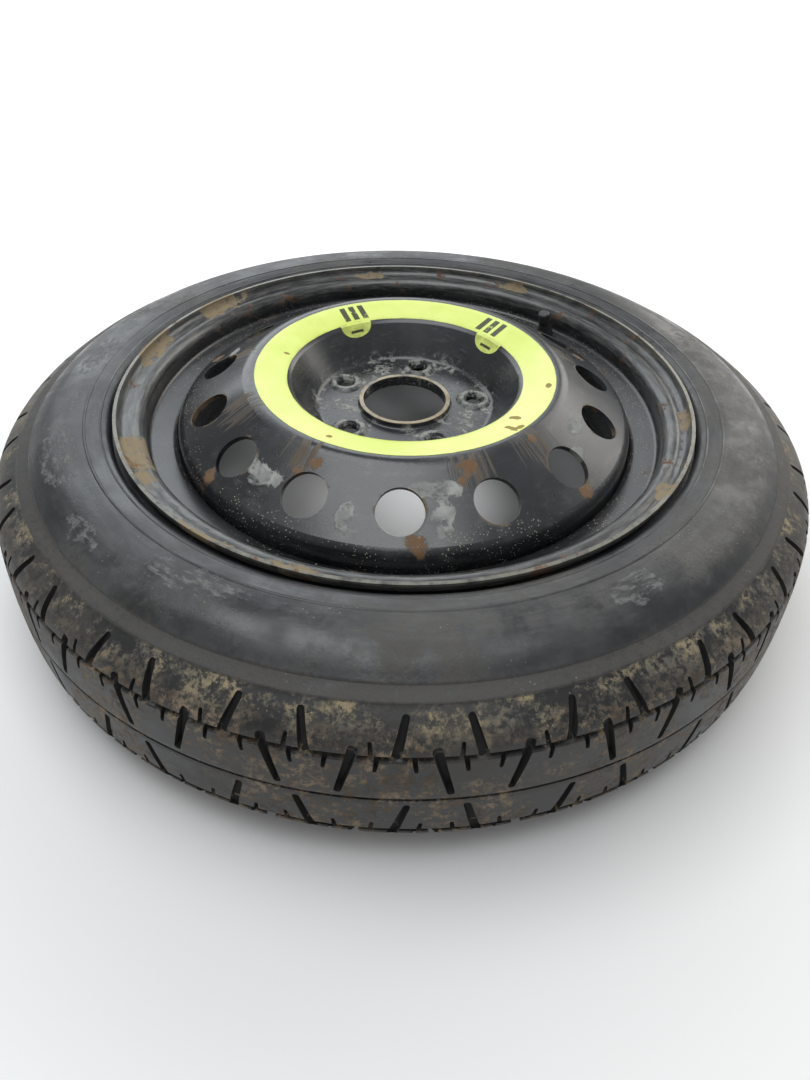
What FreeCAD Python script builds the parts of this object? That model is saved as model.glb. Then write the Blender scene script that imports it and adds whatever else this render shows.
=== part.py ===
import FreeCAD, Part
import Sketcher
import math
import os

# Temporary spare wheel, lying flat with its outboard side up.
# Millimetres. The origin is where the axle line meets the hub mounting face; +Z points outboard.

DIMENSIONS = (
    # Wheel and rim
    ("wheel_offset", 31.0),
    ("flange_span", 101.6),
    ("lip_reach", 11.2),
    ("rim_radius", 203.0),
    ("flange_height", 17.3),
    ("rim_gauge", 2.5),
    ("seat_fall", 1.1),
    ("seat_width", 18.8),
    ("well_radius", 180.5),
    ("well_outboard_run", 6.0),
    ("well_inboard_run", 14.0),
    ("curl_radius", 9.5),
    ("seat_corner_radius", 6.5),
    ("well_corner_radius", 4.0),
    # Pressed disc
    ("disc_gauge", 4.0),
    ("bore_radius", 33.55),
    ("collar_height", 9.0),
    ("collar_wall", 3.2),
    ("pad_radius", 71.0),
    ("cup_top_radius", 91.0),
    ("cup_top_height", 33.0),
    ("crest_radius", 122.5),
    ("crest_height", 41.2),
    ("brow_height", 8.8),
    ("disc_flange_end", -36.0),
    ("disc_seat_clearance", 0.05),
    ("pad_bend_radius", 6.0),
    ("crest_bend_radius", 12.0),
    ("brow_bend_radius", 10.0),
    ("collar_bend_radius", 2.0),
    # Holes of the disc
    ("bolt_circle_radius", 57.15),
    ("bolt_hole_radius", 6.8),
    ("bolt_count", 5),
    ("bolt_angle", 78.98),
    ("boss_height", 2.2),
    ("boss_radius", 14.5),
    ("boss_top_radius", 12.0),
    ("seat_mouth_radius", 8.6),
    ("vent_circle_radius", 153.0),
    ("vent_radius", 16.0),
    ("vent_count", 15),
    ("vent_angle", -90.35),
    # Welds between disc and rim
    ("weld_leg", 3.6),
    ("weld_arc", 26.0),
    ("weld_count", 8),
    # Speed label
    ("label_inner_radius", 93.2),
    ("label_outer_radius", 117.6),
    ("label_thickness", 0.3),
    ("label_glue", 0.05),
    ("lobe_drop", 9.0),
    ("lobe_lap", 2.0),
    ("lobe_arc", 18.0),
    ("lobe_angle", 38.9),
    ("lobe_spacing", 80.8),
    # Tyre: shares run from the rim lip to the tread, depths in from the tread, drops in from the sidewall
    ("tyre_radius", 303.0),
    ("tyre_width", 127.0),
    ("bead_clearance", 0.2),
    ("bead_width", 16.6),
    ("bead_taper", 6.0),
    ("lip_gap", 1.3),
    ("lip_gap_height", 0.6),
    ("sidewall_thickness", 6.0),
    ("sidewall_root_share", 0.0931),
    ("sidewall_root_drop", 3.9),
    ("sidewall_flat_inner_share", 0.2745),
    ("sidewall_flat_outer_share", 0.4196),
    ("sidewall_turn_share", 0.5586),
    ("sidewall_turn_drop", 3.1),
    ("upper_step_share", 0.6687),
    ("upper_step_drop", 8.9),
    ("lower_step_share", 0.7678),
    ("lower_step_drop", 12.9),
    ("step_fall", 1.4),
    ("step_run", 0.6),
    ("shoulder_depth", 9.0),
    ("shoulder_drop", 20.5),
    ("shoulder_turn_depth", 3.8),
    ("shoulder_turn_drop", 25.7),
    ("tread_drop", 1.5),
    ("tread_thickness", 10.0),
    ("liner_drop", 3.0),
    ("groove_place", 31.5),
    ("groove_width", 2.4),
    ("groove_depth", 4.5),
    ("centre_line_width", 1.4),
    ("centre_line_depth", 2.5),
    ("slot_width", 3.0),
    ("slot_depth", 4.0),
    ("slot_slant", 14.0),
    ("shoulder_slot_length", 20.0),
    ("rib_slot_length", 20.0),
    ("slot_pairs", 22),
    # Valve, sized along its own axis from the rim face outwards
    ("valve_angle", 45.0),
    ("valve_hole_radius", 5.75),
    ("valve_fit", 0.1),
    ("valve_collar_radius", 7.6),
    ("valve_collar_height", 5.0),
    ("valve_collar_taper", 0.8),
    ("valve_bulb_radius", 7.8),
    ("valve_bulb_height", 6.5),
    ("valve_rubber_top", 13.0),
    ("valve_rubber_top_radius", 5.0),
    ("stem_radius", 2.6),
    ("stem_foot", -7.0),
    ("stem_top", 22.0),
    ("stem_chamfer", 0.6),
    ("thread_radius", 3.8),
    ("air_bore_radius", 1.8),
    ("core_bore_radius", 2.35),
    ("core_seat_height", 9.0),
    ("core_seal_height", 0.6),
    ("core_radius", 2.25),
    ("core_length", 10.4),
    ("core_floor", 1.4),
    ("core_chamber_radius", 1.55),
    ("core_throat_radius", 0.8),
    ("pin_radius", 0.6),
    ("pin_shoulder_radius", 1.3),
    ("pin_shoulder_height", 17.0),
    ("pin_shoulder_thickness", 0.7),
    ("pin_tip", 21.0),
    ("cup_seal_radius", 1.4),
    ("cup_seal_height", 1.6),
    ("pin_foot_height", 0.8),
    ("pin_foot_radius", 1.1),
    ("core_clearance", 0.05),
    ("spring_wire_radius", 0.17),
    ("spring_pitch", 1.3),
    ("spring_mean_radius", 1.1),
    ("cap_radius", 5.3),
    ("cap_clearance", 0.2),
    ("cap_skirt", 14.4),
    ("cap_top", 25.4),
    ("cap_roof", 1.8),
    ("cap_edge", 1.0),
    ("cap_seal_bore", 2.5),
    ("cap_seal_thickness", 0.9),
)


class Size:
    """A length with the sheet expression that gives it."""

    def __init__(self, value, text):
        self.value = value
        self.text = text

    def __add__(self, other):
        other = as_size(other)
        return Size(self.value + other.value, f"({self.text} + {other.text})")

    def __sub__(self, other):
        other = as_size(other)
        return Size(self.value - other.value, f"({self.text} - {other.text})")

    def __mul__(self, factor):
        factor = as_size(factor)
        return Size(self.value * factor.value, f"({self.text} * {factor.text})")

    def __neg__(self):
        return self * -1.0

    __rmul__ = __mul__


def as_size(number):
    return number if isinstance(number, Size) else Size(float(number), f"{float(number):.8f}")


doc = FreeCAD.newDocument("spare_wheel")
sheet = doc.addObject("Spreadsheet::Sheet", "dims")
for row, (alias, number) in enumerate(DIMENSIONS, start=1):
    sheet.set(f"A{row}", alias)
    sheet.set(f"B{row}", f"{number}")
    sheet.setAlias(f"B{row}", alias)
doc.recompute()


class Sheet:
    """The sheet's cells as sizes, read by name."""

    def __getattr__(self, alias):
        return Size(float(sheet.get(alias)), f"dims.{alias}")


dim = Sheet()
sub_parts = []

# Each outline below is a list of corners. A corner is (radius, height), or
# (radius, height, bulge) where bulge is the point that an arc to that corner passes through.


def plane_of(body, role):
    return next(plane for plane in body.Origin.OriginFeatures if plane.Role == role)


def new_body(label):
    body = doc.addObject("PartDesign::Body", label)
    body.Label = label
    sub_parts.append(body)
    return body


def pin_point(sketch, geometry, end, radius, height):
    """Hold one sketch point at two sheet sizes."""
    for kind, axis, size in (("DistanceX", -2, radius), ("DistanceY", -1, height)):
        size = as_size(size)
        if size.value == 0:
            sketch.addConstraint(Sketcher.Constraint("PointOnObject", geometry, end, axis))
            continue
        index = sketch.addConstraint(
            Sketcher.Constraint(kind, -1, 1, geometry, end, size.value))
        sketch.setExpression(f"Constraints[{index}]", size.text)


def vector(radius, height):
    return FreeCAD.Vector(as_size(radius).value, as_size(height).value, 0)


def outline_sketch(body, name, corners):
    """A closed outline in the XZ plane with every corner held by the sheet."""
    sketch = body.newObject("Sketcher::SketchObject", name)
    sketch.AttachmentSupport = [(plane_of(body, "XZ_Plane"), "")]
    sketch.MapMode = "FlatFace"
    edges = []
    for before, corner in zip(corners[-1:] + corners[:-1], corners):
        start, end = vector(*before[:2]), vector(*corner[:2])
        if len(corner) == 3:
            bulge = vector(*corner[2])
            arc = Part.Arc(start, bulge, end)
            turn = (bulge - start).cross(end - bulge).z
            edges.append((sketch.addGeometry(arc), turn > 0, corner[2]))
        else:
            edges.append((sketch.addGeometry(Part.LineSegment(start, end)), True, None))
    for (edge, forward, bulge), after, corner in zip(edges, edges[1:] + edges[:1], corners):
        last = 2 if forward else 1
        first = 1 if after[1] else 2
        sketch.addConstraint(Sketcher.Constraint("Coincident", edge, last, after[0], first))
        pin_point(sketch, edge, last, *corner[:2])
        if bulge is not None:
            mark = sketch.addGeometry(Part.Point(vector(*bulge)), True)
            pin_point(sketch, mark, 1, *bulge)
            sketch.addConstraint(Sketcher.Constraint("PointOnObject", mark, 1, edge))
    return sketch


def turned(body, name, corners, angle=360.0):
    """Revolve an outline about the body's Z axis."""
    sketch = outline_sketch(body, f"{name}_outline", corners)
    solid = body.newObject("PartDesign::Revolution", name)
    solid.Profile = sketch
    solid.ReferenceAxis = (sketch, ["V_Axis"])
    if isinstance(angle, Size):
        solid.setExpression("Angle", angle.text)
        solid.Midplane = True
    doc.recompute()
    return solid


def edges_at(shape, corners):
    """Names of the full circles about Z that pass through the given corners."""
    names = []
    for index, edge in enumerate(shape.Edges, start=1):
        middle = edge.valueAt((edge.FirstParameter + edge.LastParameter) / 2)
        radius = math.hypot(middle.x, middle.y)
        for corner in corners:
            target = vector(*corner[:2])
            if math.hypot(radius - target.x, middle.z - target.y) < 1e-3 and edge.Length > target.x:
                names.append(f"Edge{index}")
    return names


def rounded(body, name, base, corners, radius):
    """Fillet the circular edges of a turned solid at the given corners."""
    fillet = body.newObject("PartDesign::Fillet", name)
    fillet.Base = (base, edges_at(base.Shape, corners))
    fillet.setExpression("Radius", as_size(radius).text)
    doc.recompute()
    return fillet


def around(body, name, originals, count, span=None):
    """Repeat features round the wheel axis."""
    pattern = body.newObject("PartDesign::PolarPattern", name)
    pattern.Originals = originals
    axis = next(line for line in body.Origin.OriginFeatures if line.Role == "Z_Axis")
    pattern.Axis = (axis, [""])
    if span is None:
        pattern.Angle = 360
        pattern.setExpression("Occurrences", count.text)
    else:
        pattern.setExpression("Angle", span.text)
        pattern.Occurrences = count
    body.Tip = pattern
    doc.recompute()
    return pattern


def offset_corners(corners, gauge):
    """The other face of a sheet: each corner moved one gauge to the right of the path."""
    points = [vector(*corner) for corner in corners]
    moved = []
    for index, corner in enumerate(corners):
        before = points[max(index - 1, 0)]
        here = points[index]
        after = points[min(index + 1, len(points) - 1)]
        normals = []
        for start, end in ((before, here), (here, after)):
            run = end - start
            if run.Length > 0:
                run.normalize()
                normals.append(FreeCAD.Vector(run.y, -run.x, 0))
        shift = (normals[0] + normals[-1]) * (1 / (1 + normals[0].dot(normals[-1])))
        moved.append((as_size(corner[0]) + gauge * shift.x, as_size(corner[1]) + gauge * shift.y))
    return moved


# Sizes that several pieces share

half_flange = dim.flange_span * 0.5
lip_radius = dim.rim_radius + dim.flange_height
lip_height = half_flange + dim.lip_reach
well_inner = dim.well_radius - dim.rim_gauge
seat_end = half_flange - dim.seat_width
seat_end_radius = dim.rim_radius - dim.seat_fall
wheel_middle = -dim.wheel_offset


def make_rim():
    """Rolled barrel: two curled flanges, two bead seats and the well that carries the disc."""
    body = new_body("rim")
    outside = [
        (lip_radius, lip_height),
        (lip_radius, half_flange),
        (dim.rim_radius, half_flange),
        (seat_end_radius, seat_end),
        (dim.well_radius, seat_end - dim.well_outboard_run),
        (dim.well_radius, dim.well_inboard_run - seat_end),
        (seat_end_radius, -seat_end),
        (dim.rim_radius, -half_flange),
        (lip_radius, -half_flange),
        (lip_radius, -lip_height),
    ]
    inside = offset_corners(outside, dim.rim_gauge)
    solid = turned(body, "barrel", outside + inside[::-1])
    bends = (
        ("curl", (1, 8), dim.curl_radius, dim.curl_radius - dim.rim_gauge),
        ("seat_corner", (2, 7), dim.seat_corner_radius, dim.seat_corner_radius + dim.rim_gauge),
        ("hump", (3, 6), dim.well_corner_radius + dim.rim_gauge, dim.well_corner_radius),
        ("well_corner", (4, 5), dim.well_corner_radius, dim.well_corner_radius + dim.rim_gauge),
    )
    for name, places, outer, inner in bends:
        solid = rounded(body, f"{name}_outer", solid, [outside[place] for place in places], outer)
        solid = rounded(body, f"{name}_inner", solid, [inside[place] for place in places], inner)
    hole = body.newObject("PartDesign::SubtractiveCylinder", "valve_hole")
    hole.setExpression("Radius", dim.valve_hole_radius.text)
    hole.setExpression("Height", (4 * dim.rim_gauge).text)
    seat = valve_frame(FreeCAD.Placement())
    hole.Placement = seat.multiply(slid(-2 * dim.rim_gauge))
    body.Tip = hole
    body.Placement = slid(wheel_middle)


def slid(height):
    """A move along Z."""
    return FreeCAD.Placement(FreeCAD.Vector(0, 0, as_size(height).value), FreeCAD.Rotation())


def turn(axis, degrees):
    return FreeCAD.Placement(FreeCAD.Vector(), FreeCAD.Rotation(axis, degrees))


def valve_frame(wheel):
    """Place of the valve: its Z axis square to the well's outboard wall, outwards."""
    fall = (seat_end_radius - dim.well_radius).value
    tilt = math.degrees(math.atan2(dim.well_outboard_run.value, fall))
    middle_radius = (seat_end_radius + dim.well_radius).value / 2
    middle_height = (seat_end - dim.well_outboard_run * 0.5).value
    spot = FreeCAD.Placement(
        FreeCAD.Vector(middle_radius, 0, middle_height), FreeCAD.Rotation(FreeCAD.Vector(0, 1, 0), -tilt))
    around_wheel = turn(FreeCAD.Vector(0, 0, 1), dim.valve_angle.value)
    return wheel.multiply(around_wheel).multiply(spot).multiply(slid(dim.rim_gauge))


# The pressed disc's outboard face, from the hub pad out to the flange that sits in the well
flange_radius = well_inner - dim.disc_seat_clearance
disc_face = [
    (dim.bore_radius + dim.collar_wall, dim.collar_height),
    (dim.bore_radius + dim.collar_wall, dim.disc_gauge),
    (dim.pad_radius, dim.disc_gauge),
    (dim.cup_top_radius, dim.cup_top_height),
    (dim.crest_radius, dim.crest_height),
    (flange_radius, dim.brow_height),
    (flange_radius, dim.disc_flange_end),
]


def height_on(corners, index, radius):
    """Height of a straight stretch of an outline at a radius."""
    start, end = vector(*corners[index]), vector(*corners[index + 1])
    return start.y + (end.y - start.y) * (radius.value - start.x) / (end.x - start.x)


def make_disc():
    """Pressed steel centre: hub pad with collar, deep cup, crest, vented slope and welding flange."""
    body = new_body("wheel_disc")
    back = offset_corners(disc_face[1:], dim.disc_gauge)[1:]
    corners = [(dim.bore_radius, dim.collar_height)] + disc_face + back[::-1]
    corners.append((dim.bore_radius, as_size(0)))
    solid = turned(body, "pressing", corners)
    bends = (
        ("pad", disc_face[2], dim.pad_bend_radius, back[0], dim.pad_bend_radius + dim.disc_gauge),
        ("cup", disc_face[3], dim.pad_bend_radius, back[1], dim.collar_bend_radius),
        ("crest", disc_face[4], dim.crest_bend_radius, back[2], dim.crest_bend_radius - dim.disc_gauge),
        ("brow", disc_face[5], dim.brow_bend_radius, back[3], dim.brow_bend_radius - dim.disc_gauge),
    )
    for name, front, front_radius, rear, rear_radius in bends:
        solid = rounded(body, f"{name}_front_bend", solid, [front], front_radius)
        solid = rounded(body, f"{name}_rear_bend", solid, [rear], rear_radius)
    solid = rounded(body, "collar_bend", solid, [disc_face[1]], dim.collar_bend_radius)

    slope_start, slope_end = vector(*disc_face[4]), vector(*disc_face[5])
    fall = math.degrees(math.atan2(slope_start.y - slope_end.y, slope_end.x - slope_start.x))
    vent = body.newObject("PartDesign::SubtractiveCylinder", "vent_hole")
    vent.setExpression("Radius", dim.vent_radius.text)
    vent.setExpression("Height", (4 * dim.disc_gauge).text)
    spot = FreeCAD.Placement(
        FreeCAD.Vector(dim.vent_circle_radius.value, 0, height_on(disc_face, 4, dim.vent_circle_radius)),
        FreeCAD.Rotation(FreeCAD.Vector(0, 1, 0), fall))
    vent.Placement = turn(FreeCAD.Vector(0, 0, 1), dim.vent_angle.value).multiply(spot).multiply(
        slid(-2 * dim.disc_gauge))
    around(body, "vent_ring", [vent], dim.vent_count)

    around_axis = turn(FreeCAD.Vector(0, 0, 1), dim.bolt_angle.value)
    at_bolt = around_axis.multiply(FreeCAD.Placement(
        FreeCAD.Vector(dim.bolt_circle_radius.value, 0, 0), FreeCAD.Rotation()))
    boss = body.newObject("PartDesign::AdditiveCone", "bolt_boss")
    boss.setExpression("Radius1", dim.boss_radius.text)
    boss.setExpression("Radius2", dim.boss_top_radius.text)
    boss.setExpression("Height", dim.boss_height.text)
    boss.Placement = at_bolt.multiply(slid(dim.disc_gauge))
    around(body, "boss_ring", [boss], dim.bolt_count)
    hole = body.newObject("PartDesign::SubtractiveCylinder", "bolt_hole")
    hole.setExpression("Radius", dim.bolt_hole_radius.text)
    hole.setExpression("Height", (4 * dim.disc_gauge).text)
    hole.Placement = at_bolt.multiply(slid(-dim.disc_gauge))
    around(body, "bolt_ring", [hole], dim.bolt_count)
    seat_depth = (dim.seat_mouth_radius - dim.bolt_hole_radius) * math.sqrt(3)
    seat = body.newObject("PartDesign::SubtractiveCone", "nut_seat")
    seat.setExpression("Radius1", dim.bolt_hole_radius.text)
    seat.setExpression("Radius2", dim.seat_mouth_radius.text)
    seat.setExpression("Height", seat_depth.text)
    seat.Placement = at_bolt.multiply(slid(dim.disc_gauge + dim.boss_height - seat_depth))
    around(body, "seat_ring", [seat], dim.bolt_count)


def make_welds():
    """Short fillet welds where the disc's flange ends inside the well."""
    body = new_body("weld_beads")
    body.AllowCompound = True
    root = dim.disc_flange_end - dim.disc_seat_clearance
    bead = turned(body, "bead", [
        (flange_radius, root),
        (flange_radius, root - dim.weld_leg),
        (flange_radius - dim.weld_leg, root, (
            flange_radius - dim.weld_leg * 0.6, root - dim.weld_leg * 0.6)),
    ], dim.weld_arc)
    around(body, "bead_ring", [bead], dim.weld_count)


def make_label():
    """Printed ring on the slope inside the crest, with two tabs that hang into the cup."""
    body = new_body("speed_label")
    slope_run = [(size, as_size(height_on(disc_face, 3, size)))
                 for size in (dim.label_outer_radius, dim.label_inner_radius)]
    turned(body, "band", sheet_on(slope_run))
    cup_top, cup_foot = vector(*disc_face[3]), vector(*disc_face[2])
    down = (cup_foot - cup_top).normalize()
    lap_radius = dim.label_inner_radius + dim.lobe_lap
    lobe_run = [
        (lap_radius, as_size(height_on(disc_face, 3, lap_radius))),
        disc_face[3],
        (dim.cup_top_radius + dim.lobe_drop * down.x, dim.cup_top_height + dim.lobe_drop * down.y),
    ]
    lobe = turned(body, "lobe", sheet_on(lobe_run), dim.lobe_arc)
    around(body, "lobe_pair", [lobe], 2, dim.lobe_spacing)
    body.Placement = turn(FreeCAD.Vector(0, 0, 1), dim.lobe_angle.value)


def sheet_on(run):
    """Closed outline of the label's film, glued on a run of corners."""
    top = offset_corners(run, dim.label_glue + dim.label_thickness)
    return offset_corners(run, dim.label_glue) + top[::-1]


def flipped(corner):
    """The same corner on the other side of the wheel's middle plane."""
    bulges = [(bulge[0], -as_size(bulge[1])) for bulge in corner[2:]]
    return (corner[0], -as_size(corner[1]), *bulges)


def walked_back(run):
    """A run of corners flipped over the middle plane and walked the other way."""
    back = []
    for corner, left in zip(run[::-1], [()] + run[:0:-1]):
        back.append(flipped((*corner[:2], *left[2:])))
    return back


def make_tyre():
    """Moulded tyre: beads on the rim seats, low sidewalls with steps, and a slotted tread."""
    body = new_body("tyre_carcass")
    gap = dim.bead_clearance
    heel = dim.seat_corner_radius - gap
    heel_radius = dim.rim_radius + dim.seat_corner_radius
    heel_height = half_flange - dim.seat_corner_radius
    diagonal = math.sqrt(0.5)
    half_width = dim.tyre_width * 0.5
    edge_radius = dim.tyre_radius - dim.tread_drop
    inner_radius = dim.tyre_radius - dim.tread_thickness
    inner_side = half_width - dim.sidewall_thickness
    toe = half_flange - dim.bead_width
    wall = dim.tyre_radius - lip_radius
    flat_inner = lip_radius + wall * dim.sidewall_flat_inner_share
    flat_outer = lip_radius + wall * dim.sidewall_flat_outer_share
    sidewall_root = (lip_radius + wall * dim.sidewall_root_share, half_width - dim.sidewall_root_drop)
    sidewall_turn = (lip_radius + wall * dim.sidewall_turn_share, half_width - dim.sidewall_turn_drop)
    upper_step = (lip_radius + wall * dim.upper_step_share, half_width - dim.upper_step_drop)
    lower_step = (lip_radius + wall * dim.lower_step_share, half_width - dim.lower_step_drop)
    shoulder = (dim.tyre_radius - dim.shoulder_depth, half_width - dim.shoulder_drop)
    shoulder_turn = (dim.tyre_radius - dim.shoulder_turn_depth, half_width - dim.shoulder_turn_drop)
    outer = [
        (dim.rim_radius + gap, toe),
        (dim.rim_radius + gap, heel_height),
        (heel_radius, half_flange - gap, (heel_radius - heel * diagonal, heel_height + heel * diagonal)),
        (lip_radius + dim.lip_gap, half_flange + dim.lip_gap_height),
        (flat_inner, half_width, sidewall_root),
        (flat_outer, half_width),
        (*upper_step, sidewall_turn),
        (upper_step[0] + dim.step_run, upper_step[1] - dim.step_fall),
        lower_step,
        (lower_step[0] + dim.step_run, lower_step[1] - dim.step_fall),
        shoulder,
        (edge_radius, dim.groove_place, shoulder_turn),
    ]
    liner_root = (flat_inner - dim.sidewall_thickness, -(inner_side - dim.liner_drop))
    liner_shoulder = (lower_step[0] - dim.liner_drop, -(lower_step[1] - dim.sidewall_thickness))
    inner = [
        (lip_radius, -(toe + dim.bead_taper)),
        (flat_outer, -inner_side, liner_root),
        (inner_radius - dim.tread_drop, -dim.groove_place, liner_shoulder),
    ]
    lower = walked_back(outer)
    lower[0] += ((dim.tyre_radius, as_size(0)),)
    upper_liner = walked_back(inner)
    upper_liner[0] += ((inner_radius, as_size(0)),)
    turned(body, "carcass", outer + lower + inner + upper_liner)

    for name, place, width, depth in (
        ("upper_groove", dim.groove_place, dim.groove_width, dim.groove_depth),
        ("lower_groove", -dim.groove_place, dim.groove_width, dim.groove_depth),
        ("centre_line", as_size(0), dim.centre_line_width, dim.centre_line_depth),
    ):
        floor = (edge_radius if place.value else dim.tyre_radius) - depth
        corners = [
            (floor, place - width * 0.5),
            (dim.tyre_radius + depth, place - width * 0.5),
            (dim.tyre_radius + depth, place + width * 0.5),
            (floor, place + width * 0.5),
        ]
        sketch = outline_sketch(body, f"{name}_outline", corners)
        groove = body.newObject("PartDesign::Groove", name)
        groove.Profile = sketch
        groove.ReferenceAxis = (sketch, ["V_Axis"])
        doc.recompute()

    body.Placement = slid(wheel_middle)
    tyre = doc.addObject("Part::Cut", "tyre")
    tyre.Base = body
    tyre.Tool = tread_slots(edge_radius, shoulder)
    sub_parts[sub_parts.index(body)] = tyre
    doc.recompute()


def tread_slots(edge_radius, shoulder):
    """Cutter for the slanted slots: shoulder and rib rows that lean both ways in turn, on both sides."""
    rise = (edge_radius - shoulder[0]).value
    lean = math.degrees(math.atan2(rise, (shoulder[1] - dim.groove_place).value))
    pitch = 360 / dim.slot_pairs.value
    slots = []
    for side, row_turn in ((1, 0), (-1, pitch / 4)):
        for step in range(2 * int(dim.slot_pairs.value)):
            slant = dim.slot_slant.value * (-1) ** step
            degrees = row_turn + step * pitch / 2
            slots.append(tread_slot(edge_radius, side, degrees, slant, lean, dim.shoulder_slot_length))
            offset = degrees + pitch / 4
            slots.append(tread_slot(edge_radius, side, offset, -slant, 180, dim.rib_slot_length))
    cutter = doc.addObject("Part::Feature", "tread_slots")
    cutter.Shape = Part.makeCompound(slots)
    cutter.Placement = slid(wheel_middle)
    return cutter


def tread_slot(radius, side, degrees, slant, lean, length):
    """One slanted slot that starts in a tread groove; lean 180 runs it back over the middle rib."""
    inward = lean == 180
    below = 0 if (side > 0) != inward else -length.value
    depth, width = dim.slot_depth.value, dim.slot_width.value
    slot = Part.makeBox(4 * depth, width, length.value, FreeCAD.Vector(-depth, -width / 2, below))
    start = FreeCAD.Placement(
        FreeCAD.Vector(radius.value, 0, side * dim.groove_place.value), FreeCAD.Rotation())
    along = turn(FreeCAD.Vector(0, 1, 0), 0 if inward else -side * lean)
    skew = turn(FreeCAD.Vector(1, 0, 0), slant)
    about = turn(FreeCAD.Vector(0, 0, 1), degrees)
    slot.Placement = about.multiply(start).multiply(along).multiply(skew)
    return slot


def valve_body(label, corners):
    """A turned valve piece, standing on the well's wall."""
    body = new_body(label)
    turned(body, f"{label}_turning", corners)
    body.Placement = valve_frame(slid(wheel_middle))
    return body


core_foot = dim.core_seat_height + dim.core_seal_height
core_top = core_foot + dim.core_length
chamber_floor = core_foot + dim.core_floor
cup_top = core_foot - dim.core_clearance
cup_foot = cup_top - dim.cup_seal_height
shoulder_foot = dim.pin_shoulder_height - dim.pin_shoulder_thickness
cap_bore = dim.thread_radius + dim.cap_clearance
cap_ceiling = dim.cap_top - dim.cap_roof


def make_valve():
    """Snap-in valve: rubber body, brass stem, spring-loaded core and screw cap with its seal."""
    axis = as_size(0)
    neck = dim.valve_hole_radius - dim.valve_fit
    wall_back = -(dim.rim_gauge + dim.valve_fit)
    rubber_bore = dim.stem_radius
    valve_body("valve_rubber", [
        (rubber_bore, wall_back - dim.valve_bulb_height),
        (neck, wall_back - dim.valve_bulb_height),
        (dim.valve_bulb_radius, wall_back),
        (neck, wall_back),
        (neck, dim.valve_fit),
        (dim.valve_collar_radius, dim.valve_fit),
        (dim.valve_collar_radius - dim.valve_collar_taper, dim.valve_collar_height),
        (dim.valve_rubber_top_radius, dim.valve_rubber_top),
        (rubber_bore, dim.valve_rubber_top),
    ])
    valve_body("valve_stem", [
        (dim.air_bore_radius, dim.stem_foot),
        (dim.stem_radius, dim.stem_foot),
        (dim.stem_radius, dim.valve_rubber_top),
        (dim.thread_radius, dim.valve_rubber_top),
        (dim.thread_radius, dim.stem_top - dim.stem_chamfer),
        (dim.thread_radius - dim.stem_chamfer, dim.stem_top),
        (dim.core_bore_radius, dim.stem_top),
        (dim.core_bore_radius, dim.core_seat_height),
        (dim.air_bore_radius, dim.core_seat_height),
    ])
    valve_body("valve_core_seal", [
        (dim.air_bore_radius, dim.core_seat_height),
        (dim.core_radius, dim.core_seat_height),
        (dim.core_radius, core_foot),
        (dim.air_bore_radius, core_foot),
    ])
    valve_body("valve_core_barrel", [
        (dim.core_throat_radius, core_foot),
        (dim.core_radius, core_foot),
        (dim.core_radius, core_top),
        (dim.core_chamber_radius, core_top),
        (dim.core_chamber_radius, chamber_floor),
        (dim.core_throat_radius, chamber_floor),
    ])
    valve_body("valve_pin", [
        (axis, cup_foot - dim.pin_foot_height),
        (dim.pin_foot_radius, cup_foot - dim.pin_foot_height),
        (dim.pin_foot_radius, cup_foot),
        (dim.pin_radius, cup_foot),
        (dim.pin_radius, shoulder_foot),
        (dim.pin_shoulder_radius, shoulder_foot),
        (dim.pin_shoulder_radius, dim.pin_shoulder_height),
        (dim.pin_radius, dim.pin_shoulder_height),
        (dim.pin_radius, dim.pin_tip),
        (axis, dim.pin_tip),
    ])
    valve_body("valve_cup_seal", [
        (dim.pin_radius, cup_foot),
        (dim.cup_seal_radius, cup_foot),
        (dim.cup_seal_radius, cup_top),
        (dim.pin_radius, cup_top),
    ])
    make_spring()
    valve_body("valve_cap", [
        (cap_bore, dim.cap_skirt),
        (dim.cap_radius, dim.cap_skirt),
        (dim.cap_radius, dim.cap_top - dim.cap_edge),
        (dim.cap_radius - dim.cap_edge, dim.cap_top),
        (axis, dim.cap_top),
        (axis, cap_ceiling),
        (cap_bore, cap_ceiling),
    ])
    seal_foot = cap_ceiling - dim.cap_seal_thickness
    valve_body("valve_cap_seal", [
        (dim.cap_seal_bore, seal_foot),
        (cap_bore, seal_foot),
        (cap_bore, cap_ceiling),
        (dim.cap_seal_bore, cap_ceiling),
    ])


def make_spring():
    """Coil between the core barrel's floor and the pin's shoulder."""
    body = new_body("valve_spring")
    low = chamber_floor + dim.spring_wire_radius + dim.core_clearance
    high = shoulder_foot - dim.spring_wire_radius - dim.core_clearance
    sketch = body.newObject("Sketcher::SketchObject", "wire_section")
    sketch.AttachmentSupport = [(plane_of(body, "XZ_Plane"), "")]
    sketch.MapMode = "FlatFace"
    middle = vector(dim.spring_mean_radius, low)
    wire = sketch.addGeometry(Part.Circle(middle, FreeCAD.Vector(0, 0, 1), dim.spring_wire_radius.value))
    pin_point(sketch, wire, 3, dim.spring_mean_radius, low)
    girth = sketch.addConstraint(Sketcher.Constraint("Radius", wire, dim.spring_wire_radius.value))
    sketch.setExpression(f"Constraints[{girth}]", dim.spring_wire_radius.text)
    coil = body.newObject("PartDesign::AdditiveHelix", "coil")
    coil.Profile = sketch
    coil.ReferenceAxis = (sketch, ["V_Axis"])
    coil.Mode = 0
    coil.setExpression("Pitch", dim.spring_pitch.text)
    coil.setExpression("Height", (high - low).text)
    doc.recompute()
    body.Placement = valve_frame(slid(wheel_middle))


make_rim()
make_disc()
make_welds()
make_label()
make_tyre()
make_valve()
doc.recompute()

for item in doc.Objects:
    faults = [word for word in item.State if word in ("Invalid", "Error")]
    if faults:
        raise RuntimeError(f"{item.Label}: {faults}")

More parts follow.
